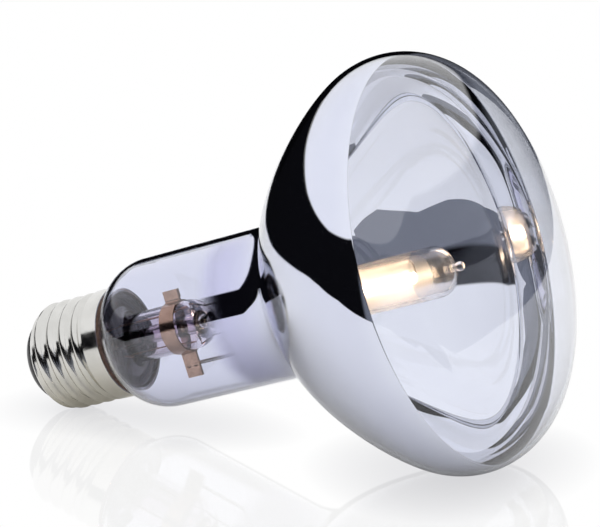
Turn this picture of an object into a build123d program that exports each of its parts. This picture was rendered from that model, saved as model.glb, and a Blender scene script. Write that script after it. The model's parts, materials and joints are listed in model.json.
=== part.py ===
from build123d import *

import os
from math import acos, asin, atan2, cos, degrees, hypot, radians, sin, sqrt, tan

# Halogen reflector lamp with an E27 screw cap, lying on its side. Sizes are millimetres and degrees.
# Each piece is drawn upright: the lamp's axis is Z, stations along it count from the tip of the cap, X is
# the side that ends up on top and Y the near side. The whole lamp is then laid down on the floor.

# Screw cap
SOLDER_RISE = 0.75       # contact solder above the contact plate
SOLDER_R = 2.3
PLATE_R = 4.8
PLATE_T = 0.35
PLATE_HOLE_R = 0.9
INSULATOR_RISE = 3.6     # from the contact plate to the edge of the shell
INSULATOR_INNER_H = 2.6  # from the edge of the shell to the insulator's inner face
INSULATOR_BULGE_R = 5.2
SEAT_MARGIN = 0.4        # insulator beyond the contact plate
SHELL_WALL = 0.3
SHELL_H = 21.2           # from the edge of the shell to its open rim
SHELL_LIP_R = 10.6
NOSE_R = 4.5             # rounding of the shell's closed end
CREST_R = 13.15          # half the thread's outer diameter
THREAD_PITCH = 3.629
THREAD_DEPTH = 1.1
THREAD_TURNS = 5.4
THREAD_START = -0.6      # first crest, from the edge of the shell
CORE_PROUD = 0.05        # root of the thread above the arc's lowest line
FOOT_RELIEF = 0.12
FOOT_DEPTH = 0.5
SKIRT_PROUD = 0.05       # plain skirt above the crest
SKIRT_H = 4.2
SKIRT_SLOPE_H = 0.9
CEMENT_GAP = 0.6         # between skirt and glass
CEMENT_H = 2.6
CEMENT_PROUD = 0.5       # cement beyond the shell's open rim
SIDE_SOLDER_R = 1.5
SIDE_LEAD_TURN = 240.0   # direction in which the side lead leaves, from the top

# Outer bulb
GLASS_WALL = 0.8
SEAL_H = 2.6             # straight end of the glass inside the cap
SEAL_REACH = 0.65        # from the shell's open rim to the start of the shoulder
SHOULDER_R = 11.8
NECK_R = 17.9
NECK_END = 71.5
NECK_FILLET_R = 7.0
BOWL_BACK_ANGLE = 65.2   # slope of the bowl where it leaves the neck, from the axis
BOWL_BACK_R = 20.4       # its radius there
BOWL_RIM_ANGLE = 21.7    # slope where the bowl meets the rim's arc
RIM_R = 16.2
BULB_R = 47.7
WIDEST = 110.8           # station of the widest place
DOME_R = 104.0
FILM_T = 0.12
FILM_START = 57.0
FILM_EDGE = 116.0

# Stem
FLARE_T = 1.0
FLARE_FILLET_R = 3.0
FLARE_DROP = 0.4         # face of the flare below the start of the shoulder
STEM_R = 5.9
STEM_WALL = 1.0
STEM_END = 50.5          # top of the stem's dome
BORE_END = 46.5          # end of the tube's bore under the dome
BORE_END_R = 4.0
EXHAUST_R = 2.1
EXHAUST_WALL = 0.8
EXHAUST_TIP = 12.5
MOUTH_R = 2.2            # blown mouth of the exhaust tube in the dome
MOUTH_H = 1.8
LEAD_OFFSET = 3.6        # upper seal wire from the axis
LEAD_R = 0.25
SIDE_LEAD_R = 0.18
SEAL_WIRE_R = 0.3
SEAL_WIRE_L = 1.6
SEAL_MIDDLE = 47.4       # middle of the seal wires, inside the dome's glass
LEAD_BEND_R = 2.0
RIM_BEND_R = 0.2
WIRE_GAP = 0.02          # between wires that lie side by side at a weld

# Clamp round the stem
STRAP_MIDDLE = 41.5
STRAP_W = 4.0
STRAP_T = 0.35
STRAP_CLEARANCE = 0.03
STRAP_BEND_R = 0.5
UPPER_TAB = 9.0          # ends of the tabs from the axis
LOWER_TAB = 12.2
FOLD_H = 2.0             # near strap folded down behind the upper tab
WELD_DIMPLE_R = 0.55
WELD_DIMPLE_DEPTH = 0.15
WELD_SPACING = 1.9

# Support wire and burner
SUPPORT_R = 0.45
SUPPORT_OFFSET = 9.3
SUPPORT_BEND_R = 3.0
BURNER_DROP = 2.0        # burner below the lamp's axis
BURNER_R = 5.8
BURNER_WALL = 1.0
BURNER_TIP = 116.7
TIP_R = 1.1
TIP_H = 3.2
TIP_NECK_R = 0.9
BURNER_END_R = 4.0
BURNER_START = 79.0      # tube meets pinch
PINCH_START = 65.0
PINCH_T = 4.0
PINCH_W = 10.4
PINCH_BLEND_H = 4.0
PINCH_EDGE_R = 1.2
PIN_R = 0.4
PIN_SPACING = 4.6
PIN_OUT = 7.0            # pin outside the pinch
PIN_IN = 3.0
FOIL_W = 2.6
FOIL_L = 7.0
FOIL_T = 0.1
INNER_LEAD_R = 0.25
LEG_R = 0.25
COIL_R = 0.9
COIL_WIRE_R = 0.22
COIL_PITCH = 1.0
COIL_TURNS = 21
COIL_START = 84.0
RETURN_OFFSET = 3.9      # return lead above the burner's axis
LEG_BEND_R = 1.2

# Stations along the axis
plate_face = SOLDER_RISE
seat_face = plate_face + PLATE_T
lip = seat_face + INSULATOR_RISE
rim = lip + SHELL_H
seal_end = rim + SEAL_REACH
glass_end = seal_end - SEAL_H

# Thread form: equal crest and root arcs that touch on the flank
thread_arc = (THREAD_PITCH**2 / 4 + THREAD_DEPTH**2) / (4 * THREAD_DEPTH)
root_r = CREST_R - THREAD_DEPTH
core_r = root_r + CORE_PROUD
skirt_r = CREST_R + SKIRT_PROUD
seal_r = skirt_r - SHELL_WALL - CEMENT_GAP
nose_centre_r = skirt_r - NOSE_R
nose_centre = lip + sqrt(NOSE_R**2 - (SHELL_LIP_R - nose_centre_r) ** 2)

# Bulb outline: the radii fix where the shoulder and the front dome start
shoulder_angle = degrees(acos(1 - (NECK_R - seal_r) / SHOULDER_R))
rim_centre_r = BULB_R - RIM_R
dome_angle = degrees(acos(rim_centre_r / (DOME_R - RIM_R)))
dome_centre = WIDEST - (DOME_R - RIM_R) * sin(radians(dome_angle))
front = dome_centre + DOME_R


def turned(*edges):
    """Solid of revolution from a closed outline in (radius, station), with its seam on the near side."""
    return revolve(Plane.YZ * make_face(edges), Axis.Z)


def ring(inner_r, outer_r, start, end):
    """Plain ring, or a disc where the inner radius is nothing."""
    corners = (inner_r, start), (outer_r, start), (outer_r, end), (inner_r, end)
    return turned(*Polyline(*corners, close=True).edges())


def wire(radius, points, bend_r):
    """Round wire along straight runs with rounded bends."""
    path = FilletPolyline(*points, radius=bend_r)
    return sweep(Plane(origin=path @ 0, z_dir=path % 0) * Circle(radius), path=path)


def straight_wire(radius, x, y, start, end):
    return Pos(x, y, start) * Cylinder(radius, end - start, align=(Align.CENTER, Align.CENTER, Align.MIN))


def slab(x, y, start, end):
    """Box over the ranges x and y, from one station to another."""
    return Pos(x[0], y[0], start) * Box(x[1] - x[0], y[1] - y[0], end - start, align=(Align.MIN,) * 3)


# Screw shell: one rolled wall, threaded inside and out


def thread_section(inset):
    """Round thread form in (radius, station), with its foot sunk into the core."""
    flank = asin(THREAD_PITCH / (4 * thread_arc))
    root_arc = thread_arc + inset
    crest = JernArc((CREST_R - inset, 0), (0, 1), thread_arc - inset, degrees(flank))
    root = JernArc(crest @ 1, crest % 1, root_arc, -degrees(flank - asin(FOOT_RELIEF / root_arc)))
    foot_r = root_r - inset - FOOT_DEPTH
    foot = Polyline(root @ 1, (foot_r, (root @ 1).Y), (foot_r, 0), crest @ 0)
    half = make_face(crest.edges() + root.edges() + foot.edges())
    return half + mirror(half, Plane.XZ)


def shell_form(inset):
    """Filled outside of the shell, moved inwards by inset."""
    start = lip + THREAD_START
    helix = Pos(0, 0, start) * Helix(THREAD_PITCH, THREAD_PITCH * THREAD_TURNS, CREST_R)
    section = Plane(origin=(0, 0, start), x_dir=(1, 0, 0), z_dir=helix % 0) * thread_section(inset)
    skirt = rim - SKIRT_H + inset * tan(radians(45) / 2)
    body = turned(
        *Polyline(
            (0, start),
            (core_r - inset, start),
            (core_r - inset, skirt - SKIRT_SLOPE_H),
            (skirt_r - inset, skirt),
            (skirt_r - inset, rim + inset),
            (0, rim + inset),
            close=True,
        ).edges()
    )
    nose = JernArc((skirt_r - inset, nose_centre), (0, -1), NOSE_R - inset, -90)
    beyond = 2 * skirt_r
    clear = Polyline(
        nose @ 1, (0, (nose @ 1).Y), (0, front), (beyond, front), (beyond, nose_centre), nose @ 0
    )
    envelope = turned(*nose.edges(), *clear.edges())
    return (body + sweep(section, path=helix, is_frenet=True)) & envelope


screw_shell = shell_form(0) - shell_form(SHELL_WALL) - ring(0, SHELL_LIP_R, 0, nose_centre)

# Insulator, contact and solder at the closed end


def nose_arc(inset, from_r, to_r):
    """Part of the shell's rounded end between two radii."""
    points = []
    for r in (from_r, (from_r + to_r) / 2, to_r):
        drop = sqrt((NOSE_R - inset) ** 2 - (r - nose_centre_r) ** 2)
        points.append((r, nose_centre - drop))
    return ThreePointArc(*points)


insulator_r = core_r - 2 * SHELL_WALL
insulator_inner = lip + INSULATOR_INNER_H
insulator_nose = nose_arc(SHELL_WALL, SHELL_LIP_R, insulator_r)
insulator_bulge = RadiusArc((PLATE_R + SEAT_MARGIN, seat_face), (SHELL_LIP_R, lip), -INSULATOR_BULGE_R)
insulator_inside = Polyline(
    insulator_nose @ 1,
    (insulator_r, insulator_inner),
    (PLATE_HOLE_R, insulator_inner),
    (PLATE_HOLE_R, seat_face),
    insulator_bulge @ 0,
)
insulator_lip = Line(insulator_bulge @ 1, insulator_nose @ 0)
cap_insulator = turned(
    *insulator_bulge.edges(), *insulator_lip.edges(), *insulator_nose.edges(), *insulator_inside.edges()
)
contact_plate = ring(PLATE_HOLE_R, PLATE_R, plate_face, seat_face)

# Wires through the stem: a copper lead outside, a seal wire in the dome's glass and a nickel lead inside.
# The lower ones lie in line with the inner side of the burner's lower pin.
pin_low = -BURNER_DROP - PIN_SPACING / 2
pin_high = -BURNER_DROP + PIN_SPACING / 2
lead_low = pin_low + PIN_R + INNER_LEAD_R + WIRE_GAP
seal_start = SEAL_MIDDLE - SEAL_WIRE_L / 2
seal_stop = SEAL_MIDDLE + SEAL_WIRE_L / 2
solder_hold = SOLDER_RISE / 2
outer_lead_centre = wire(
    LEAD_R,
    [
        (0, 0, solder_hold),
        (0, 0, insulator_inner),
        (LEAD_OFFSET, 0, EXHAUST_TIP),
        (LEAD_OFFSET, 0, seal_start),
    ],
    LEAD_BEND_R,
)
side_x = cos(radians(SIDE_LEAD_TURN))
side_y = sin(radians(SIDE_LEAD_TURN))
side_gap_r = seal_r + CEMENT_GAP / 2
side_under = glass_end - 2 * RIM_BEND_R - SIDE_LEAD_R
side_over = rim + SIDE_LEAD_R + WIRE_GAP
side_out_r = skirt_r + SIDE_LEAD_R + WIRE_GAP
outer_lead_side = wire(
    SIDE_LEAD_R,
    [
        (lead_low, 0, seal_start),
        (lead_low, 0, side_under),
        (side_gap_r * side_x, side_gap_r * side_y, side_under),
        (side_gap_r * side_x, side_gap_r * side_y, side_over),
        (side_out_r * side_x, side_out_r * side_y, side_over),
        (side_out_r * side_x, side_out_r * side_y, side_over - 2 * SIDE_SOLDER_R),
    ],
    RIM_BEND_R,
)
seal_wire_low = straight_wire(SEAL_WIRE_R, lead_low, 0, seal_start, seal_stop)
seal_wire_high = straight_wire(SEAL_WIRE_R, LEAD_OFFSET, 0, seal_start, seal_stop)
seal_wires = Compound(children=[seal_wire_low, seal_wire_high])

solder_dome_r = (SOLDER_R**2 + SOLDER_RISE**2) / (2 * SOLDER_RISE)
solder_dome = Pos(0, 0, solder_dome_r) * Sphere(solder_dome_r) & ring(0, SOLDER_R, 0, plate_face)
solder_plug = ring(0, PLATE_HOLE_R, plate_face, seat_face)
contact_solder = solder_dome + solder_plug - outer_lead_centre
side_bead = Pos(skirt_r * side_x, skirt_r * side_y, rim - SIDE_SOLDER_R) * Sphere(SIDE_SOLDER_R)
side_solder = side_bead - ring(0, skirt_r, 0, front) - outer_lead_side
cement = ring(seal_r, skirt_r - SHELL_WALL, rim - CEMENT_H, rim)
cement_bead = Polyline(
    (seal_r, rim), (skirt_r - SHELL_WALL, rim), (seal_r, rim + CEMENT_PROUD), close=True
)
basing_cement = cement + turned(*cement_bead.edges()) - outer_lead_side

# Outer bulb and the mirror film on the inside of its bowl


def free_curve(start, leave, start_r, end, arrive, end_r):
    """Curve between two places and headings, with the given radius at each end."""
    leave_pull = arrive_pull = (end - start).length / 3
    for _ in range(60):
        first = start + leave * leave_pull
        last = end - arrive * arrive_pull
        leave_pull = sqrt(2 / 3 * start_r * (last - start).cross(leave).length)
        arrive_pull = sqrt(2 / 3 * end_r * (end - first).cross(arrive).length)
    return Bezier(start, start + leave * leave_pull, end - arrive * arrive_pull, end)


def bowl(inset, last_slope):
    """Outline of the bulb from the neck's end to a slope past its widest place, moved inwards by inset."""
    hollow = JernArc((NECK_R - inset, NECK_END), (0, 1), NECK_FILLET_R + inset, -BOWL_BACK_ANGLE)
    slope = radians(BOWL_RIM_ANGLE)
    rim_start = Vector(rim_centre_r, WIDEST) + Vector(cos(slope), -sin(slope)) * (RIM_R - inset)
    round_rim = JernArc(rim_start, (sin(slope), cos(slope)), RIM_R - inset, BOWL_RIM_ANGLE + last_slope)
    side = free_curve(hollow @ 1, hollow % 1, BOWL_BACK_R - inset, rim_start, round_rim % 0, RIM_R - inset)
    return [hollow, side, round_rim]


def bulb_side(inset):
    """Whole side of the bulb, from the shoulder's start to the front, moved inwards by inset."""
    slope = radians(shoulder_angle)
    start = Vector(seal_r - inset * cos(slope), seal_end + inset * sin(slope))
    shoulder = JernArc(start, (sin(slope), cos(slope)), SHOULDER_R - inset, shoulder_angle)
    neck = Line(shoulder @ 1, (NECK_R - inset, NECK_END))
    arcs = bowl(inset, dome_angle)
    dome = JernArc(arcs[-1] @ 1, arcs[-1] % 1, DOME_R - inset, 90 - dome_angle)
    return [shoulder, neck, *arcs, dome]


outside = bulb_side(0)
inside = bulb_side(GLASS_WALL)
bulb_edges = [edge for curve in outside + inside for edge in curve.edges()]
apex = Line((0, front), (0, front - GLASS_WALL))
glass_foot = Polyline(
    inside[0] @ 0,
    (seal_r - GLASS_WALL, seal_end),
    (seal_r - GLASS_WALL, glass_end),
    (seal_r, glass_end),
    outside[0] @ 0,
)
outer_bulb = turned(*bulb_edges, *apex.edges(), *glass_foot.edges())

film_slope = degrees(asin((FILM_EDGE - WIDEST) / (RIM_R - GLASS_WALL)))
film_outside = bowl(GLASS_WALL, film_slope)
film_inside = bowl(GLASS_WALL + FILM_T, film_slope)
film_edges = [edge for curve in film_outside + film_inside for edge in curve.edges()]
film_neck_r = NECK_R - GLASS_WALL
film_neck = Polyline(
    film_outside[0] @ 0, (film_neck_r, FILM_START), (film_neck_r - FILM_T, FILM_START), film_inside[0] @ 0
)
film_lip = Line(film_outside[-1] @ 1, film_inside[-1] @ 1)
mirror_film = turned(*film_edges, *film_neck.edges(), *film_lip.edges())

# Stem: flare, tube, domed end and exhaust tube, fused to one piece of glass
flare_r = seal_r - GLASS_WALL
flare_face = seal_end - FLARE_DROP
flare_under = flare_face - FLARE_T
stem_bore = STEM_R - STEM_WALL
flare_out = JernArc((STEM_R + FLARE_FILLET_R, flare_face), (-1, 0), FLARE_FILLET_R, -90)
flare_in = JernArc((STEM_R + FLARE_FILLET_R, flare_under), (-1, 0), FLARE_FILLET_R + FLARE_T, -90)
stem_side = Line(flare_out @ 1, (STEM_R, STEM_END - STEM_R))
stem_dome = JernArc(stem_side @ 1, (0, 1), STEM_R, 90)
bore_side = Line(flare_in @ 1, (stem_bore, BORE_END - BORE_END_R))
bore_dome = JernArc(bore_side @ 1, (0, 1), BORE_END_R, 90)
dome_core = Polyline(stem_dome @ 1, (0, BORE_END), bore_dome @ 1)
flare_rim = Polyline(
    flare_in @ 0,
    (flare_r - FLARE_T, flare_under),
    (flare_r - FLARE_T, glass_end),
    (flare_r, glass_end),
    (flare_r, flare_face),
    flare_out @ 0,
)
stem_outline = flare_out, stem_side, stem_dome, dome_core, bore_dome, bore_side, flare_in, flare_rim
stem_blank = turned(*[edge for curve in stem_outline for edge in curve.edges()])
exhaust_bore = EXHAUST_R - EXHAUST_WALL
exhaust_end = EXHAUST_TIP + EXHAUST_R
exhaust = straight_wire(EXHAUST_R, 0, 0, exhaust_end, BORE_END) + Pos(0, 0, exhaust_end) * Sphere(EXHAUST_R)
mouth_foot = STEM_END - MOUTH_H
mouth = Polyline((0, mouth_foot), (exhaust_bore, mouth_foot), (MOUTH_R, STEM_END), (0, STEM_END), close=True)
glass_stem = stem_blank + exhaust - straight_wire(exhaust_bore, 0, 0, exhaust_end, STEM_END)
glass_stem -= turned(*mouth.edges())
glass_stem -= straight_wire(LEAD_R, LEAD_OFFSET, 0, BORE_END - BORE_END_R, seal_start)
glass_stem -= straight_wire(SIDE_LEAD_R, lead_low, 0, BORE_END - BORE_END_R, seal_start)
glass_stem -= seal_wire_low + seal_wire_high
for lead in (lead_low, LEAD_OFFSET):
    glass_stem -= straight_wire(INNER_LEAD_R, lead, 0, seal_stop, STEM_END)

# Clamp: two half straps round the stem, folded together above and spot welded below
strap_r = STEM_R + STRAP_CLEARANCE
strap_start = STRAP_MIDDLE - STRAP_W / 2


def half_strap(upper_end):
    """Half strap on the near side, with a flat tab up to the given height and one down to the lower tab."""
    outer = strap_r + STRAP_T
    band = ring(strap_r, outer, strap_start, strap_start + STRAP_W)
    near = slab((-outer, outer), (0, outer), strap_start, strap_start + STRAP_W)
    tabs = slab((strap_r, upper_end), (0, STRAP_T), strap_start, strap_start + STRAP_W)
    tabs += slab((-LOWER_TAB, -strap_r), (0, STRAP_T), strap_start, strap_start + STRAP_W)
    strap = (band & near) + tabs
    bends = []
    for edge in strap.edges().filter_by(Axis.Z):
        place = edge.center()
        if abs(place.Y - STRAP_T) < STRAP_T / 10 and abs(abs(place.X) - outer) < STRAP_T:
            bends.append(edge)
    return fillet(bends, STRAP_BEND_R)


clamp_strap_far = mirror(half_strap(UPPER_TAB - STRAP_T), Plane.XZ)
fold = slab((UPPER_TAB - STRAP_T, UPPER_TAB), (-2 * STRAP_T, 0), strap_start, strap_start + STRAP_W)
fold += slab((UPPER_TAB - FOLD_H, UPPER_TAB), (-2 * STRAP_T, -STRAP_T), strap_start, strap_start + STRAP_W)
clamp_strap_near = half_strap(UPPER_TAB) + fold
weld_centre = -(strap_r + LOWER_TAB) / 2
for step in (-1, 1):
    dimple = Pos(weld_centre - STRAP_T, STRAP_T, STRAP_MIDDLE + step * WELD_SPACING / 2)
    dimple_ball_r = (WELD_DIMPLE_R**2 + WELD_DIMPLE_DEPTH**2) / (2 * WELD_DIMPLE_DEPTH)
    clamp_strap_near -= dimple * Pos(0, dimple_ball_r - WELD_DIMPLE_DEPTH, 0) * Sphere(dimple_ball_r)

# Support wire and inner leads up to the burner's pins
support_y = -(STRAP_T + SUPPORT_R + WIRE_GAP)
pin_start = PINCH_START - PIN_OUT
weld_end = PINCH_START - PIN_R
support_bend = pin_start - SUPPORT_BEND_R
pin_weld = PIN_R + SUPPORT_R + WIRE_GAP
support_wire = wire(
    SUPPORT_R,
    [
        (-SUPPORT_OFFSET, support_y, strap_start),
        (-SUPPORT_OFFSET, support_y, support_bend),
        (pin_low - pin_weld, 0, pin_start + SUPPORT_BEND_R),
        (pin_low - pin_weld, 0, weld_end),
    ],
    SUPPORT_BEND_R,
)
inner_lead_side = straight_wire(INNER_LEAD_R, lead_low, 0, seal_stop, weld_end)
high_weld = pin_high + PIN_R + INNER_LEAD_R + WIRE_GAP
inner_lead_centre = wire(
    INNER_LEAD_R,
    [
        (LEAD_OFFSET, 0, seal_stop),
        (LEAD_OFFSET, 0, STEM_END + LEAD_BEND_R),
        (high_weld, 0, pin_start),
        (high_weld, 0, weld_end),
    ],
    LEAD_BEND_R,
)

# Burner: quartz tube closed by a pinch with foils, pins and the filament inside
on_burner = Pos(-BURNER_DROP, 0, 0)
burner_bore = BURNER_R - BURNER_WALL
burner_end = BURNER_TIP - TIP_H
bore_end_r = BURNER_END_R - BURNER_WALL
tube = turned(
    *Polyline(
        (0, BURNER_START),
        (BURNER_R, BURNER_START),
        (BURNER_R, burner_end - BURNER_END_R),
    ).edges(),
    *JernArc((BURNER_R, burner_end - BURNER_END_R), (0, 1), BURNER_END_R, 90).edges(),
    *Polyline((BURNER_R - BURNER_END_R, burner_end), (0, burner_end), (0, BURNER_START)).edges(),
)
bore = turned(
    *Polyline(
        (0, BURNER_START),
        (burner_bore, BURNER_START),
        (burner_bore, burner_end - BURNER_END_R),
    ).edges(),
    *JernArc((burner_bore, burner_end - BURNER_END_R), (0, 1), bore_end_r, 90).edges(),
    *Polyline(
        (burner_bore - bore_end_r, burner_end - BURNER_WALL),
        (0, burner_end - BURNER_WALL),
        (0, BURNER_START),
    ).edges(),
)
tip = straight_wire(TIP_NECK_R, 0, 0, burner_end - BURNER_WALL / 2, BURNER_TIP - TIP_R)
tip += Pos(0, 0, BURNER_TIP - TIP_R) * Sphere(TIP_R)
pinch_flat = RectangleRounded(PINCH_W, PINCH_T, PINCH_EDGE_R)
pinch_end = BURNER_START - PINCH_BLEND_H
pinch = Pos(0, 0, PINCH_START) * extrude(pinch_flat, pinch_end - PINCH_START)
pinch += loft([Pos(0, 0, pinch_end) * pinch_flat, Pos(0, 0, BURNER_START) * Circle(BURNER_R)])
foil_start = PINCH_START + PIN_IN
foil_stop = foil_start + FOIL_L
pins = []
foils = []
for side in (-1, 1):
    pins.append(straight_wire(PIN_R, side * PIN_SPACING / 2, 0, pin_start, foil_start))
    middle = side * PIN_SPACING / 2
    foils.append(
        slab((middle - FOIL_W / 2, middle + FOIL_W / 2), (-FOIL_T / 2, FOIL_T / 2), foil_start, foil_stop)
    )
burner_pins = on_burner * Compound(children=pins)
burner_foils = on_burner * Compound(children=foils)

# Filament: rear leg from the lower foil, coil on the axis, return lead along the upper wall
coil_stop = COIL_START + COIL_PITCH * COIL_TURNS
coil_path = Pos(0, 0, COIL_START) * Helix(COIL_PITCH, COIL_PITCH * COIL_TURNS, COIL_R)
coil_section = Plane(origin=coil_path @ 0, z_dir=coil_path % 0) * Circle(COIL_WIRE_R)
coil = sweep(coil_section, path=coil_path, is_frenet=True)
leg_end = COIL_START - COIL_WIRE_R - WIRE_GAP
rear_leg = wire(
    LEG_R,
    [
        (-PIN_SPACING / 2, 0, foil_stop),
        (-PIN_SPACING / 2, 0, BURNER_START),
        (COIL_R, 0, leg_end - LEG_BEND_R),
        (COIL_R, 0, leg_end),
    ],
    LEG_BEND_R,
)
front_turn = coil_stop + COIL_WIRE_R + LEG_R + WIRE_GAP
return_lead = wire(
    LEG_R,
    [
        (PIN_SPACING / 2, 0, foil_stop),
        (PIN_SPACING / 2, 0, BURNER_START),
        (RETURN_OFFSET, 0, COIL_START),
        (RETURN_OFFSET, 0, front_turn),
        (COIL_R, 0, front_turn),
    ],
    LEG_BEND_R,
)
filament_coil = on_burner * coil
filament_rear_leg = on_burner * rear_leg
filament_return_lead = on_burner * return_lead
quartz = pinch + tube - bore + tip
for inner in (*pins, *foils, rear_leg, return_lead):
    quartz -= inner
burner_capsule = on_burner * quartz

# Resting place: the floor touches the first full crest below and the widest part of the bulb
crest_below = lip + THREAD_START + 1.5 * THREAD_PITCH
crest_centre_r = CREST_R - thread_arc
run = WIDEST - crest_below
climb = rim_centre_r - crest_centre_r
tilt = atan2(climb, run) + asin((RIM_R - thread_arc) / hypot(run, climb))
floor = crest_below * sin(tilt) - crest_centre_r * cos(tilt) - thread_arc
laid = Plane(origin=(0, 0, -floor), x_dir=(-sin(tilt), 0, cos(tilt)), z_dir=(cos(tilt), 0, sin(tilt)))
cap_reach = (laid.location * contact_plate).bounding_box().min.X
front_reach = dome_centre * cos(tilt) + DOME_R
rest = Pos(-(cap_reach + front_reach) / 2, 0, 0) * laid.location

pieces = {
    "screw_shell": screw_shell,
    "cap_insulator": cap_insulator,
    "contact_plate": contact_plate,
    "contact_solder": contact_solder,
    "side_solder": side_solder,
    "basing_cement": basing_cement,
    "outer_bulb": outer_bulb,
    "mirror_film": mirror_film,
    "glass_stem": glass_stem,
    "outer_lead_centre": outer_lead_centre,
    "outer_lead_side": outer_lead_side,
    "seal_wires": seal_wires,
    "inner_lead_centre": inner_lead_centre,
    "inner_lead_side": inner_lead_side,
    "clamp_strap_near": clamp_strap_near,
    "clamp_strap_far": clamp_strap_far,
    "support_wire": support_wire,
    "burner_capsule": burner_capsule,
    "burner_pins": burner_pins,
    "burner_foils": burner_foils,
    "filament_rear_leg": filament_rear_leg,
    "filament_return_lead": filament_return_lead,
    "filament_coil": filament_coil,
}
os.makedirs("parts", exist_ok=True)
for name, piece in pieces.items():
    laid_down = [rest * solid for solid in piece.solids()]
    whole = laid_down[0] if len(laid_down) == 1 else Compound(children=laid_down)
    export_step(whole, f"parts/{name}.step")
print(f"tilt {degrees(tilt):.2f} degrees, length {front:.2f} mm, rest {rest.position}")
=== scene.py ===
import bmesh
import bpy
import json
from math import acos, asin, cos, pi, radians, sin, sqrt
from mathutils import Matrix, Vector
from mathutils.geometry import interpolate_bezier


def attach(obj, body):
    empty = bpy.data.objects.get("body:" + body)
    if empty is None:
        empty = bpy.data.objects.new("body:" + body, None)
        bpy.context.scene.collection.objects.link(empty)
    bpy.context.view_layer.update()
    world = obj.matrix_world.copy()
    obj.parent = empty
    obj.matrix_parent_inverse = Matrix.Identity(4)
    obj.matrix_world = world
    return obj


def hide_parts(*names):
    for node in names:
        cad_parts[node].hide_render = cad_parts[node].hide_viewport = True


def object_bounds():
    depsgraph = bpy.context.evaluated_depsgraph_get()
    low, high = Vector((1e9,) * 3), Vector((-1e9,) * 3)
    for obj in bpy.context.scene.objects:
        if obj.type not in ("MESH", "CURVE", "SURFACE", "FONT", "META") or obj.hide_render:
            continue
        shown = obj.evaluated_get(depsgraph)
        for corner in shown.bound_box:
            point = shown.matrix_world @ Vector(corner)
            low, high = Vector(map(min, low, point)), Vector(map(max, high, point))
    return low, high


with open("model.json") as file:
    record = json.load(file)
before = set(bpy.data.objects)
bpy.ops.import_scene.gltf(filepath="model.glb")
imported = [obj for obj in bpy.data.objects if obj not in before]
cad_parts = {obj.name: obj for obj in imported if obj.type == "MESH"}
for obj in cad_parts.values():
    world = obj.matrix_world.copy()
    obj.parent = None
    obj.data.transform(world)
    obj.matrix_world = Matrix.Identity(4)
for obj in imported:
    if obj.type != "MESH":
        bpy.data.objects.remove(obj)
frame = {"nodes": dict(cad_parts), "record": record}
cad_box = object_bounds()
nodes = frame["nodes"]

# Screw shell: thin brass strip, drawn, rolled with a round thread and nickel plated outside.
# It is bright, and painted darker and warmer on its lower side, as painted shade. The inside was
# never plated: it is painted a dull dark brown, for bare brass under the cement's fumes and for
# painted shade inside the cap. The shell is cemented to the bulb and soldered to the side lead.

# The lamp lies tilted, so patterns and turned pieces are drawn upright and laid down with it.
cap_mount = frame["record"]["mounts"][0]
cap_tip = Vector(cap_mount["pos_m"])
lamp_axis = -Vector(cap_mount["axis"]).normalized()
lamp_up = Vector((-lamp_axis.z, 0, lamp_axis.x))
lamp_turn = Matrix((lamp_up, Vector((0, -1, 0)), lamp_axis)).transposed()
laid_down = Matrix.Translation(cap_tip) @ lamp_turn.to_4x4()


def finish(name):
    """Start a material, and give its surface shader for the section to fill in."""
    material = bpy.data.materials.new(name)
    material.use_nodes = True
    return material, material.node_tree.nodes["Principled BSDF"]


def feed(node, inputs):
    """Fill in a shader node's inputs: a number or colour is set, a socket is joined."""
    for place, value in inputs.items():
        if isinstance(value, bpy.types.NodeSocket):
            node.id_data.links.new(value, node.inputs[place])
        else:
            node.inputs[place].default_value = value


def add_node(beside, kind, inputs, **choices):
    """Add a shader node to the tree that holds another node or socket."""
    node = beside.id_data.nodes.new("ShaderNode" + kind)
    for choice, value in choices.items():
        setattr(node, choice, value)
    feed(node, inputs)
    return node


def upright(surface):
    """Object coordinates turned so that Z runs along the lamp, in metres from the cap's tip."""
    undo = laid_down.inverted()
    place = add_node(surface, "TexCoord", {})
    turned = add_node(surface, "Mapping", {
        "Vector": place.outputs["Object"],
        "Rotation": undo.to_euler(),
        "Location": undo.translation,
    }, vector_type="POINT")
    return turned.outputs["Vector"]


def part_of(coords, axis):
    """One part of a place: X towards the lamp's upper side, Y across, Z along."""
    return add_node(coords, "SeparateXYZ", {"Vector": coords}).outputs[axis]


nickel, surface = finish("nickel_plate")
coords = upright(surface)


def mottle(coords, scale, detail, low=0.0, high=1.0):
    """Soft cloudy variation between two values."""
    clouds = add_node(coords, "TexNoise", {"Vector": coords, "Scale": scale, "Detail": detail})
    levels = add_node(coords, "MapRange", {
        "Value": clouds.outputs["Fac"],
        "From Min": 0.3, "From Max": 0.7,
        "To Min": low, "To Max": high,
    })
    return levels.outputs["Result"]


def tint(factor, dark, light):
    """Colour between two tones by a factor from 0 to 1."""
    ramp = add_node(factor, "ValToRGB", {"Fac": factor})
    for stop, tone in zip(ramp.color_ramp.elements, (dark, light)):
        stop.color = (*tone, 1)
    return ramp.outputs["Color"]


def soft_step(value, start, end, low=0.0, high=1.0):
    """Soft step from one level to another, between two places."""
    step = add_node(value, "MapRange", {
        "Value": value,
        "From Min": start, "From Max": end,
        "To Min": low, "To Max": high,
    }, interpolation_type="SMOOTHSTEP")
    return step.outputs["Result"]


def blend(factor, first, second):
    """Colour between two colours or colour sockets."""
    first_colour, second_colour, mixed_colour = 6, 7, 2
    mix = add_node(factor, "Mix", {
        "Factor": factor, first_colour: first, second_colour: second,
    }, data_type="RGBA")
    return mix.outputs[mixed_colour]


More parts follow.
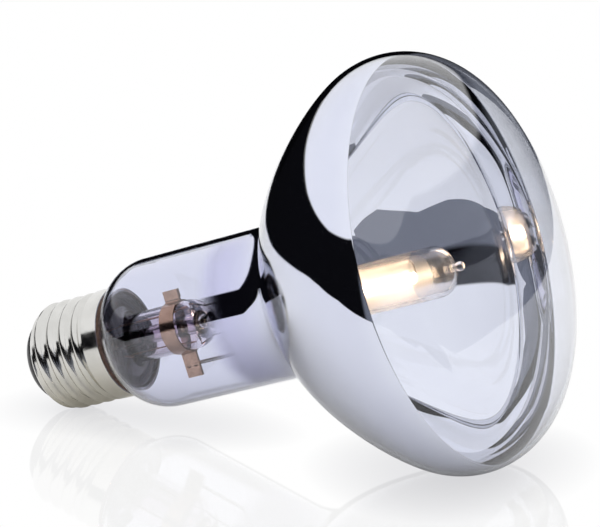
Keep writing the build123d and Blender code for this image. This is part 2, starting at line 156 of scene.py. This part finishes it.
wear = mottle(coords, scale=160, detail=6)
bright = tint(wear, dark=(0.66, 0.655, 0.635), light=(0.75, 0.745, 0.725))
# Painted shade: the lower side of the plate gets a darker, warmer colour than the upper side.
shaded_underside = tint(wear, dark=(0.55, 0.525, 0.45), light=(0.66, 0.63, 0.545))
lit_upper_side = soft_step(part_of(coords, "X"), start=-0.012, end=0.006)
plated_and_shaded = blend(lit_upper_side, shaded_underside, bright)
# Painted shade: the inside is a dull dark brown, for its bare brass and for the shade inside the
# cap.
bare_and_shaded = tint(wear, dark=(0.14, 0.085, 0.085), light=(0.23, 0.155, 0.155))

# A face that looks away from the lamp's axis is outside.
from_axis = add_node(coords, "CombineXYZ", {
    "X": part_of(coords, "X"), "Y": part_of(coords, "Y"),
})
outward = add_node(coords, "Mapping", {
    "Vector": from_axis.outputs["Vector"], "Rotation": lamp_turn.to_euler(),
}, vector_type="VECTOR")
facing = add_node(coords, "VectorMath", {
    0: add_node(coords, "NewGeometry", {}).outputs["True Normal"], 1: outward.outputs["Vector"],
}, operation="DOT_PRODUCT")
outside = soft_step(facing.outputs["Value"], start=-0.004, end=-0.003)


def reckon(operation, first, second=0.0):
    """One step of arithmetic with a socket and a number, or with two sockets."""
    beside = first if isinstance(first, bpy.types.NodeSocket) else second
    step = add_node(beside, "Math", {0: first, 1: second}, operation=operation)
    return step.outputs["Value"]


def roughen(surface, coords, scale, height, strength):
    """Fine uneven skin on a surface."""
    grain = add_node(coords, "TexNoise", {"Vector": coords, "Scale": scale, "Detail": 4})
    bump = add_node(coords, "Bump", {
        "Height": grain.outputs["Fac"], "Distance": height, "Strength": strength,
    })
    feed(surface, {"Normal": bump.outputs["Normal"]})


def dress(material, *pieces):
    """Give pieces that come from the frame their finish."""
    for piece in pieces:
        nodes[piece].data.materials.clear()
        nodes[piece].data.materials.append(material)


dull_brass = reckon("SUBTRACT", 0.85, outside)
polish = mottle(coords, scale=420, detail=5, low=0.08, high=0.2)
feed(surface, {
    "Base Color": blend(outside, bare_and_shaded, plated_and_shaded),
    "Metallic": outside,
    "Roughness": reckon("MAXIMUM", dull_brass, polish),
})
roughen(surface, coords, scale=900, height=0.00002, strength=0.25)
dress(nickel, "screw_shell")

# Cap insulator: the black plug that keeps the end contact off the shell. It is glass, poured
# into the shell's end while hot, so it is glossy with the fine unevenness of its flow.
black_glass, surface = finish("black_cap_glass")
coords = upright(surface)
feed(surface, {
    "Base Color": (0.012, 0.012, 0.014, 1),
    "Specular IOR Level": 0.25,
    "Roughness": mottle(coords, scale=300, detail=4, low=0.15, high=0.3),
})
roughen(surface, coords, scale=350, height=0.00005, strength=0.3)
dress(black_glass, "cap_insulator")

# Contact plate: the end contact, a disc stamped from brass sheet and held by the black glass.
# Handling has dulled it unevenly.
contact_brass, surface = finish("contact_brass")
coords = upright(surface)
tarnish = mottle(coords, scale=500, detail=6)
feed(surface, {
    "Base Color": tint(tarnish, dark=(0.52, 0.38, 0.18), light=(0.80, 0.64, 0.36)),
    "Metallic": 1,
    "Roughness": mottle(coords, scale=800, detail=4, low=0.22, high=0.42),
})
dress(contact_brass, "contact_plate")

# Solder: tin beads, dropped on hot, that hold the leads at the tip and on the skirt's rim.
# They have set with a slightly frosted skin.
solder, surface = finish("set_solder")
coords = upright(surface)
frost = mottle(coords, scale=700, detail=6)
feed(surface, {
    "Base Color": tint(frost, dark=(0.46, 0.46, 0.47), light=(0.74, 0.74, 0.75)),
    "Metallic": 1,
    "Roughness": mottle(coords, scale=900, detail=4, low=0.2, high=0.45),
})
roughen(surface, coords, scale=1200, height=0.00004, strength=0.4)
dress(solder, "contact_solder", "side_solder")

# Basing cement: the ring that holds the skirt to the glass. It is a brown resin cement, put in
# wet and baked hard, so it is matte and grainy.
cement, surface = finish("brown_cement")
coords = upright(surface)
grain = mottle(coords, scale=1500, detail=6)
feed(surface, {
    "Base Color": tint(grain, dark=(0.10, 0.06, 0.045), light=(0.24, 0.15, 0.11)),
    "Roughness": 0.8,
})
roughen(surface, coords, scale=2500, height=0.00008, strength=0.8)
dress(cement, "basing_cement")

# Outer bulb: one blown bulb of lavender-tinted glass. Its tint is deeper at the neck, where the
# wall is thickest, and darkened further there as painted shade. Its profile is drawn outside and
# inside, as arcs that run into each other, and turned about the lamp's axis. The neck's end is
# sealed to the stem and cemented in the cap.
GLASS_WALL = 0.0008
SEAL_R = 0.0123
SEAL_END = 0.02655
GLASS_END = 0.02395
SHOULDER_R = 0.0118
NECK_R = 0.0179
NECK_END = 0.06926
NECK_FLARE_R = 0.0123
NECK_FLARE_ANGLE = radians(35)
NECK_FILLET_R = 0.0046
BOWL_BACK_ANGLE = radians(65.2)
BOWL_BACK_R = 0.0204
BOWL_RIM_ANGLE = radians(21.7)
RIM_R = 0.0162
BULB_R = 0.0477
WIDEST = 0.1108
DOME_R = 0.104
TURN_STEPS = 192
SHADED_NECK_TINT = (0.845, 0.86, 0.955)
BOWL_TINT = (0.89, 0.905, 0.97)
FRONT_TINT = (0.93, 0.945, 0.995)

shoulder_angle = acos(1 - (NECK_R - SEAL_R) / SHOULDER_R)
dome_angle = acos((BULB_R - RIM_R) / (DOME_R - RIM_R))


def curl(bm, point, radius, slope, next_slope, steps):
    """Carry a profile point round an arc, from one slope off the axis to the next."""
    outward = Vector((cos(slope), 0, -sin(slope)))
    side = 1 if next_slope > slope else -1
    centre = point.co + outward * radius * side
    spun = bmesh.ops.spin(
        bm, geom=[point], cent=centre, axis=(0, 1, 0), angle=next_slope - slope, steps=steps
    )
    return [part for part in spun["geom_last"] if isinstance(part, bmesh.types.BMVert)][0]


def run(bm, point, radius, station, steps):
    """Carry a profile point along a straight line."""
    step = (Vector((radius, 0, station)) - point.co) / steps
    for _ in range(steps):
        grown = bmesh.ops.extrude_vert_indiv(bm, verts=[point])
        point = grown["verts"][0]
        point.co += step
    return point


def bowl_profile(bm, point, inset, last_slope):
    """Neck's end to rim, moved inwards by inset. The bowl is one curve that leaves the neck's
    fillet and runs into the rim with the rim's own curvature."""
    point = curl(bm, point, NECK_FLARE_R + inset, 0, NECK_FLARE_ANGLE, steps=20)
    point = curl(bm, point, NECK_FILLET_R + inset, NECK_FLARE_ANGLE, BOWL_BACK_ANGLE, steps=14)
    start = point.co.copy()
    leave = Vector((sin(BOWL_BACK_ANGLE), 0, cos(BOWL_BACK_ANGLE)))
    arrive = Vector((sin(BOWL_RIM_ANGLE), 0, cos(BOWL_RIM_ANGLE)))
    off_centre = Vector((cos(BOWL_RIM_ANGLE), 0, -sin(BOWL_RIM_ANGLE))) * (RIM_R - inset)
    end = Vector((BULB_R - RIM_R, 0, WIDEST)) + off_centre
    leave_pull = arrive_pull = (end - start).length / 3
    # The two pulls depend on each other, and a few dozen rounds settle them.
    for _ in range(60):
        first, last = start + leave * leave_pull, end - arrive * arrive_pull
        leave_pull = sqrt(2 / 3 * (BOWL_BACK_R - inset) * (last - start).cross(leave).length)
        arrive_pull = sqrt(2 / 3 * (RIM_R - inset) * (end - first).cross(arrive).length)
    for place in interpolate_bezier(start, first, last, end, 72)[1:]:
        point = run(bm, point, place.x, place.z, steps=1)
    return curl(bm, point, RIM_R - inset, BOWL_RIM_ANGLE, last_slope, steps=44)


def set_down(bm, name, material):
    """Make an object of a finished mesh, at the origin."""
    mesh = bpy.data.meshes.new(name)
    bm.to_mesh(mesh)
    bm.free()
    mesh.materials.append(material)
    piece = bpy.data.objects.new(name, mesh)
    bpy.context.scene.collection.objects.link(piece)
    return piece


def turn_and_lay(bm, name, material):
    """Turn a profile about the lamp's axis, close it and lay it down with the lamp."""
    bmesh.ops.spin(
        bm, geom=bm.verts[:] + bm.edges[:], cent=(0, 0, 0), axis=(0, 0, 1), angle=2 * pi,
        steps=TURN_STEPS, use_merge=True,
    )
    bmesh.ops.remove_doubles(bm, verts=bm.verts, dist=1e-7)
    bmesh.ops.recalc_face_normals(bm, faces=bm.faces)
    bmesh.ops.transform(bm, matrix=laid_down, verts=bm.verts)
    for face in bm.faces:
        face.smooth = True
    piece = set_down(bm, name, material)
    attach(piece, "root")
    return piece


lavender_glass, surface = finish("lavender_glass")
coords = upright(surface)
along = part_of(coords, "Z")
# Painted shade: the neck's glass gets a deeper tint than the bowl's, which fades out along the
# bowl.
past_shaded_neck = soft_step(along, start=0.062, end=0.085)
shaded_neck_to_bowl = tint(past_shaded_neck, dark=SHADED_NECK_TINT, light=BOWL_TINT)
thinned = soft_step(along, start=0.112, end=0.118)
bowl_to_front = tint(thinned, dark=BOWL_TINT, light=FRONT_TINT)
near_rim = soft_step(along, start=0.098, end=0.108)
feed(surface, {
    "Base Color": blend(near_rim, shaded_neck_to_bowl, bowl_to_front),
    "Transmission Weight": 1,
    "Roughness": 0,
    "IOR": 1.5,
})
roughen(surface, coords, scale=22, height=0.0002, strength=0.04)

bm = bmesh.new()
foot_out = bm.verts.new((SEAL_R, 0, GLASS_END))
foot_in = bm.verts.new((SEAL_R - GLASS_WALL, 0, GLASS_END))
bm.edges.new((foot_out, foot_in))
for foot, inset in ((foot_out, 0), (foot_in, GLASS_WALL)):
    point = run(bm, foot, SEAL_R - inset, SEAL_END, steps=4)
    if inset:
        corner_r = SEAL_R - inset * cos(shoulder_angle)
        point = run(bm, point, corner_r, SEAL_END + inset * sin(shoulder_angle), steps=1)
    point = curl(bm, point, SHOULDER_R - inset, shoulder_angle, 0, steps=20)
    point = run(bm, point, NECK_R - inset, NECK_END, steps=30)
    point = bowl_profile(bm, point, inset, -dome_angle)
    curl(bm, point, DOME_R - inset, -dome_angle, -pi / 2, steps=30)
bulb = turn_and_lay(bm, "blown_bulb", lavender_glass)
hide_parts("outer_bulb")

# Mirror film: aluminium evaporated on the inside of the bowl. It ends sharply at the rim, where
# it was masked, and thins out to nothing along the neck, where the vapour reached less and less.
FILM_T = 0.00012
FILM_SKIN = 0.00002
FILM_START = 0.057
FILM_FULL = 0.0645
FILM_EDGE = 0.116

film_slope = -asin((FILM_EDGE - WIDEST) / (RIM_R - GLASS_WALL))

film_metal, surface = finish("evaporated_aluminium")
coords = upright(surface)
along = part_of(coords, "Z")
streak = mottle(coords, scale=60, detail=4)
full_coat = tint(streak, dark=(0.88, 0.885, 0.92), light=(0.92, 0.925, 0.95))
thin_coat = tint(streak, dark=(0.76, 0.745, 0.86), light=(0.80, 0.785, 0.89))
thicker = soft_step(along, start=0.064, end=0.076)
feed(surface, {
    "Base Color": blend(thicker, thin_coat, full_coat),
    "Metallic": 1,
    "Roughness": 0.02,
    "Alpha": soft_step(along, start=FILM_START, end=FILM_FULL),
})

bm = bmesh.new()
film_starts = []
film_ends = []
for inset in (GLASS_WALL + FILM_SKIN, GLASS_WALL + FILM_T):
    start = bm.verts.new((NECK_R - inset, 0, FILM_START))
    film_starts.append(start)
    point = run(bm, start, NECK_R - inset, NECK_END, steps=14)
    film_ends.append(bowl_profile(bm, point, inset, film_slope))
bm.edges.new(film_starts)
bm.edges.new(film_ends)
film = turn_and_lay(bm, "mirror_coat", film_metal)
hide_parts("mirror_film")

# Stem: flare, tube, domed end and exhaust tube of soft glass, melted into one piece and sealed
# to the neck's foot. It is faintly mauve, with the unevenness of drawn tube.
stem_glass, surface = finish("stem_glass")
coords = upright(surface)
feed(surface, {
    "Base Color": (0.88, 0.82, 0.87, 1),
    "Transmission Weight": 1,
    "Roughness": 0.01,
    "IOR": 1.52,
})
roughen(surface, coords, scale=90, height=0.0001, strength=0.1)
dress(stem_glass, "glass_stem")

# Outer leads: two bare copper wires from the cap's contacts to the stem. They are soldered at
# the cap and welded to the seal wires in the stem, and the heat has browned them.
lead_copper, surface = finish("lead_copper")
coords = upright(surface)
patina = mottle(coords, scale=400, detail=5)
feed(surface, {
    "Base Color": tint(patina, dark=(0.36, 0.16, 0.09), light=(0.72, 0.40, 0.26)),
    "Metallic": 1,
    "Roughness": 0.3,
})
dress(lead_copper, "outer_lead_centre", "outer_lead_side")

# Seal wires: two short lengths of copper-clad wire that the stem's glass wets and closes on.
# Melting them in has oxidised them dark red.
seal_oxide, surface = finish("seal_wire_oxide")
coords = upright(surface)
oxide = mottle(coords, scale=900, detail=4)
feed(surface, {
    "Base Color": tint(oxide, dark=(0.20, 0.04, 0.025), light=(0.45, 0.13, 0.07)),
    "Roughness": 0.5,
})
dress(seal_oxide, "seal_wires")

# Inner leads and support wire: stiff nickel wire, bent to shape and welded to the burner's pins,
# which they carry. Drawing the wire has left a dull bloom on it.
nickel_wire, surface = finish("drawn_nickel_wire")
coords = upright(surface)
bloom = mottle(coords, scale=600, detail=5)
feed(surface, {
    "Base Color": tint(bloom, dark=(0.40, 0.38, 0.36), light=(0.66, 0.63, 0.60)),
    "Metallic": 1,
    "Roughness": mottle(coords, scale=700, detail=3, low=0.2, high=0.4),
})
dress(nickel_wire, "inner_lead_centre", "inner_lead_side", "support_wire")

# Clamp: two half straps of rolled nickel strip round the stem, folded above and spot welded
# below. The strip is shiny, and warm in tone from the welding heat.
strap_metal, surface = finish("rolled_strap")
coords = upright(surface)
bloom = mottle(coords, scale=350, detail=6)
feed(surface, {
    "Base Color": tint(bloom, dark=(0.44, 0.28, 0.19), light=(0.60, 0.39, 0.27)),
    "Metallic": 1,
    "Roughness": mottle(coords, scale=900, detail=4, low=0.12, high=0.22),
})
roughen(surface, coords, scale=1600, height=0.00003, strength=0.3)
dress(strap_metal, "clamp_strap_near", "clamp_strap_far")

# Burner capsule: quartz tube, closed by a flat pinch behind and a melted exhaust tip in front.
# A thin bloom on the inside of the tube spreads the filament's light. The outside stays clear,
# and so, nearly, do the front and the tip.
BURNER_OFF_AXIS = 0.002
BLOOM_ROUGHNESS = 0.36

quartz, surface = finish("burner_quartz")
coords = upright(surface)
about_burner = add_node(coords, "Mapping", {
    "Vector": coords, "Location": (BURNER_OFF_AXIS, 0, 0), "Scale": (1, 1, 0),
})
off_axis = add_node(coords, "VectorMath", {0: about_burner.outputs["Vector"]}, operation="LENGTH")
bloom = soft_step(
    off_axis.outputs["Value"], start=0.0051, end=0.0055, low=BLOOM_ROUGHNESS, high=0
)
clear_front = soft_step(part_of(coords, "Z"), start=0.104, end=0.109, low=1, high=0.3)
feed(surface, {
    "Base Color": (0.99, 0.96, 0.94, 1),
    "Transmission Weight": 1,
    "IOR": 1.46,
    "Roughness": reckon("MULTIPLY", bloom, clear_front),
})
roughen(surface, coords, scale=260, height=0.0001, strength=0.1)
dress(quartz, "burner_capsule")

# Pins and foils: grey molybdenum, which quartz can be pinched on without cracking. The pins are
# drawn wire, the foils rolled thin, and the pinch holds both.
molybdenum, surface = finish("molybdenum")
coords = upright(surface)
bloom = mottle(coords, scale=800, detail=5)
feed(surface, {
    "Base Color": tint(bloom, dark=(0.30, 0.30, 0.32), light=(0.52, 0.52, 0.54)),
    "Metallic": 1,
    "Roughness": 0.35,
})
dress(molybdenum, "burner_pins", "burner_foils")

# Filament: coiled tungsten wire between a short rear leg and a long return lead, which are
# welded to the foils. The coil glows, and the legs only take its light.
tungsten, surface = finish("tungsten_wire")
coords = upright(surface)
bloom = mottle(coords, scale=900, detail=5)
feed(surface, {
    "Base Color": tint(bloom, dark=(0.30, 0.27, 0.24), light=(0.55, 0.50, 0.44)),
    "Metallic": 1,
    "Roughness": 0.35,
})
dress(tungsten, "filament_rear_leg", "filament_return_lead")

glow, surface = finish("glowing_coil")
coords = upright(surface)
heat = mottle(coords, scale=1200, detail=3)
feed(surface, {
    "Base Color": (0.3, 0.25, 0.2, 1),
    "Roughness": 0.5,
    "Emission Color": tint(heat, dark=(1.0, 0.73, 0.48), light=(1.0, 0.81, 0.58)),
    "Emission Strength": 240,
})
dress(glow, "filament_coil")

# Studio table: a white board with an uneven outline, which the lamp lies on. Mirror, glass and
# metal show it. The camera itself looks at the floor that covers it, below.
TABLE_EDGE = (
    (-0.30, 0.65), (-0.28, 0.16), (-0.245, 0.07), (-0.20, -0.03), (-0.18, -0.16),
    (-0.09, -0.255), (0.20, -0.26), (0.206, -0.17), (0.22, -0.12), (0.30, -0.126),
    (0.231, -0.052), (0.194, -0.011), (0.241, 0.004), (0.45, 0.045), (0.8, 0.05), (0.8, 0.65),
)
floor_height = cad_box[0][2] - 0.00005
table_height = floor_height - 0.0001

white_board, surface = finish("white_board")
feed(surface, {
    "Base Color": (0.9, 0.9, 0.9, 1),
    "Roughness": 0.6,
    "Specular IOR Level": 0,
    "Emission Color": (1, 1, 1, 1),
    "Emission Strength": 0.16,
})
bm = bmesh.new()
bm.faces.new([bm.verts.new((x, y, table_height)) for x, y in TABLE_EDGE])
table = set_down(bm, "table", white_board)
table.visible_camera = False

# Studio floor: a polished white sheet on the table, as the camera sees it. It keeps a soft shade
# where the lamp touches it and a faint reflection of the lamp.
FLOOR_R = 3
SHADE_REACH = 0.015
FLOOR_POLISH = 0.11

polished_white, surface = finish("polished_white")
shade = add_node(surface, "AmbientOcclusion", {"Distance": SHADE_REACH})
lit = add_node(surface, "Emission", {
    "Color": tint(shade.outputs["AO"], dark=(0.72, 0.72, 0.74), light=(1, 1, 1)),
})
polish = add_node(surface, "BsdfGlossy", {"Color": (1, 1, 1, 1), "Roughness": 0.03})
white_top = add_node(surface, "MixShader", {
    "Fac": FLOOR_POLISH, 1: lit.outputs["Emission"], 2: polish.outputs["BSDF"],
})
feed(polished_white.node_tree.nodes["Material Output"], {"Surface": white_top.outputs["Shader"]})
bm = bmesh.new()
bmesh.ops.create_circle(bm, cap_ends=True, segments=64, radius=FLOOR_R)
bmesh.ops.translate(bm, vec=(0, 0, floor_height), verts=bm.verts)
floor = set_down(bm, "floor", polished_white)
floor.visible_diffuse = False
floor.visible_glossy = False
floor.visible_transmission = False
floor.visible_shadow = False

# White card: a bright sheet that stands far behind the lamp and faces the camera. Only the
# polished floor and the bright cap show it.
CARD_HALF_HEIGHT = 0.24
CARD_STRETCH = 2
CARD_PLACE = (-0.55, 1.07, 0.2)
CARD_TURN = radians(27.2)

card_paper, surface = finish("white_card")
feed(surface, {
    "Base Color": (0, 0, 0, 1),
    "Specular IOR Level": 0,
    "Emission Color": (1, 1, 1, 1),
    "Emission Strength": 1,
})
bm = bmesh.new()
bmesh.ops.create_grid(bm, x_segments=1, y_segments=1, size=CARD_HALF_HEIGHT)
stand = Matrix.Translation(CARD_PLACE) @ Matrix.Rotation(CARD_TURN, 4, "Z")
stand = stand @ Matrix.Rotation(pi / 2, 4, "X") @ Matrix.Diagonal((CARD_STRETCH, 1, 1, 1))
bmesh.ops.transform(bm, matrix=stand, verts=bm.verts)
card = set_down(bm, "white_card", card_paper)
card.visible_camera = False
card.visible_diffuse = False
card.visible_transmission = False
card.visible_shadow = False
card_seen_by = bpy.data.collections.new("card_seen_by")
card_seen_by.objects.link(floor)
card_seen_by.objects.link(nodes["screw_shell"])
card.light_linking.receiver_collection = card_seen_by

# Studio room: soft white light from above, which ends in an uneven edge over the dark of the
# room. In front, low down, the dark is grey. The camera itself sees white all round.
BACKDROP_SIDE = radians(112)
# Degrees round from the backdrop's side, and the height of the light's edge there.
LIGHT_EDGE = (
    (0, 17), (30, 14), (45, 14.5), (75, 16.5), (120, 22),
    (150, 28), (170, 33), (260, 33), (320, 17), (360, 17),
)
LIFT_RANGE = 120
LIGHT_SOFTNESS = 0.03
FRONT_FROM = 161
FRONT_TO = 167
FRONT_HEIGHT = radians(14)
FRONT_SOFTNESS = 0.06
ROOM_BLACK = (0.004, 0.004, 0.005)
FRONT_GREY = (0.175, 0.185, 0.215)

room = bpy.data.worlds.new("studio")
bpy.context.scene.world = room
room.use_nodes = True
background = room.node_tree.nodes["Background"]
toward = add_node(background, "TexCoord", {}).outputs["Generated"]
bearing = reckon("ARCTAN2", part_of(toward, "Y"), part_of(toward, "X"))
turn = reckon("DIVIDE", reckon("SUBTRACT", bearing, BACKDROP_SIDE), 2 * pi)
turn = reckon("FRACT", turn)
height = reckon("ARCSINE", part_of(toward, "Z"))

rise = add_node(background, "ValToRGB", {"Fac": turn})
stops = rise.color_ramp.elements
while len(stops) < len(LIGHT_EDGE):
    stops.new(0.5)
for stop, (side, lift) in zip(stops, LIGHT_EDGE):
    level = lift / LIFT_RANGE + 0.5
    stop.position = side / 360
    stop.color = (level, level, level, 1)
light_edge = reckon("SUBTRACT", rise.outputs["Color"], 0.5)
light_edge = reckon("MULTIPLY", light_edge, radians(LIFT_RANGE))
dark = soft_step(reckon("SUBTRACT", light_edge, height), start=0, end=LIGHT_SOFTNESS)
camera_ray = add_node(background, "LightPath", {}).outputs["Is Camera Ray"]
dark = reckon("MULTIPLY", dark, reckon("SUBTRACT", 1, camera_ray))

in_front = soft_step(turn, start=FRONT_FROM / 360, end=FRONT_TO / 360)
low_down = soft_step(reckon("SUBTRACT", FRONT_HEIGHT, height), start=0, end=FRONT_SOFTNESS)
shadows = tint(reckon("MULTIPLY", in_front, low_down), dark=ROOM_BLACK, light=FRONT_GREY)
feed(background, {"Color": blend(dark, (1, 1, 1, 1), shadows), "Strength": 1})

# Camera: a long lens at the photograph's place, in front of the bulb on its near side, a little
# above the lamp and looking down on it.
view = bpy.data.cameras.new("view")
view.lens = 151.08
view.sensor_width = 36
view.clip_start = 0.01
camera = bpy.data.objects.new("view", view)
camera.location = (0.259875, -0.495774, 0.176786)
camera.rotation_euler = (radians(76.39), radians(-0.1172), radians(27.2215))
bpy.context.scene.collection.objects.link(camera)
bpy.context.scene.camera = camera
bpy.context.scene.view_settings.view_transform = "Standard"
